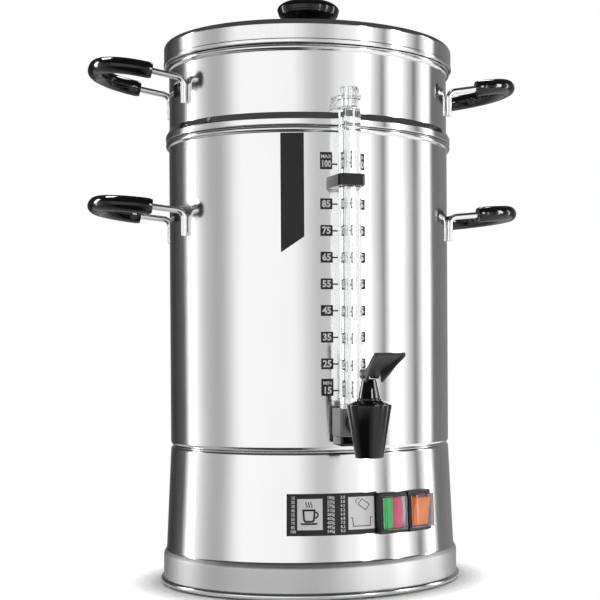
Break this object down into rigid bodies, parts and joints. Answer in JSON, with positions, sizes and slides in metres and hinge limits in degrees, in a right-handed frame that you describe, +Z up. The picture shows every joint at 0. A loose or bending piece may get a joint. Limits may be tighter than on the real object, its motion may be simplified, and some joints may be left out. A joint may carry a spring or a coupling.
{
  "type": "coffee urn",
  "caption": "Round-filter coffee urn: heated base, tall vessel with sight gauge and lever tap, stacked filter pot and lid, side handles, switch and signal lamps.",
  "frame": {"origin": "on the urn's axis, at the surface that it stands on", "axes": "+Z up along the urn's axis, -Y towards the tap and the gauge, +X to the right of the tap"},
  "size_m": [0.4208, 0.4264, 0.561],
  "materials": {
    "polished_steel": "polished stainless steel",
    "plated_steel": "plated steel",
    "zinc_steel": "zinc-plated steel",
    "heater_alloy": "cast, as machined",
    "black_gloss": "moulded, glossy",
    "lever_grey": "moulded, fine texture",
    "fitting_grey": "moulded, satin",
    "clear_tube": "clear, polished",
    "clear_cover": "clear, polished",
    "lens_green": "translucent",
    "lens_red": "translucent",
    "rocker_orange": "translucent",
    "black_rubber": "matt",
    "white_silicone": "matt",
    "terminal_ivory": "moulded",
    "wire_red": "insulated"
  },
  "bodies": {
    "urn": {"base_shell": "polished_steel", "vessel": "polished_steel", "heater_well": "polished_steel", "riser_tube": "polished_steel", "vessel_handle_left": "polished_steel", "vessel_handle_right": "polished_steel", "shank": "plated_steel", "shank_nut": "plated_steel", "tap_spring": "plated_steel", "base_plate": "zinc_steel", "plate_screws": "zinc_steel", "tie_rod": "zinc_steel", "tie_nut": "zinc_steel", "clip_screw": "zinc_steel", "heater_ring": "zinc_steel", "heater_plate": "heater_alloy", "vessel_grip_left": "black_gloss", "vessel_grip_right": "black_gloss", "tap_body": "black_gloss", "tap_bonnet": "black_gloss", "plug_nut": "black_gloss", "gauge_clip": "black_gloss", "lamp_bezel": "black_gloss", "switch_bezel": "black_gloss", "switch_case": "black_gloss", "cord_inlet": "black_gloss", "thermostat": "black_gloss", "tee_body": "fitting_grey", "gauge_tube": "clear_tube", "lamp_cover": "clear_cover", "switch_cover": "clear_cover", "lamp_green": "lens_green", "lamp_red": "lens_red", "feet": "black_rubber", "wall_seal": "black_rubber", "shank_washer": "black_rubber", "gauge_seal": "white_silicone", "terminal_block": "terminal_ivory", "wires": "wire_red"},
    "filter_pot": {"pot_shell": "polished_steel", "pot_screen": "polished_steel", "pot_chimney": "polished_steel", "spreader": "polished_steel", "pot_handle_left": "polished_steel", "pot_handle_right": "polished_steel", "pot_grip_left": "black_gloss", "pot_grip_right": "black_gloss"},
    "lid": {"lid_shell": "polished_steel", "lid_knob": "black_gloss", "knob_washer": "zinc_steel", "knob_screw": "zinc_steel"},
    "gauge_cap": {"gauge_cap": "clear_cover"},
    "tap_stem": {"tap_stem": "plated_steel", "seat_cup": "white_silicone"},
    "tap_lever": {"tap_lever": "lever_grey", "lever_pin": "plated_steel"},
    "switch_rocker": {"switch_rocker": "rocker_orange"}
  },
  "joints": [
    {"name": "pot_lift", "type": "slide", "parent": "urn", "child": "filter_pot", "axis": [0, 0, 1], "range_m": [0, 0.25]},
    {"name": "lid_lift", "type": "slide", "parent": "filter_pot", "child": "lid", "axis": [0, 0, 1], "range_m": [0, 0.12]},
    {"name": "cap_lift", "type": "slide", "parent": "urn", "child": "gauge_cap", "axis": [0, 0, 1], "range_m": [0, 0.02]},
    {"name": "stem_lift", "type": "slide", "parent": "urn", "child": "tap_stem", "axis": [0, 0, 1], "range_m": [0, 0.0028], "stiffness_N_per_m": 100, "springref_m": -0.006, "deforming": ["tap_spring"]},
    {"name": "lever_turn", "type": "hinge", "parent": "tap_stem", "child": "tap_lever", "pos_m": [0, -0.218, 0.2008], "axis": [1, 0, 0], "range_deg": [0, 45]},
    {"name": "rocker_turn", "type": "hinge", "parent": "urn", "child": "switch_rocker", "pos_m": [0.07054, -0.1192, 0.0745], "axis": [0.8606, 0.5093, 0], "range_deg": [-20, 0]}
  ],
  "couplings": [
    {"joint": "lever_turn", "follows": "stem_lift", "rad_per_m": 250}
  ]
}
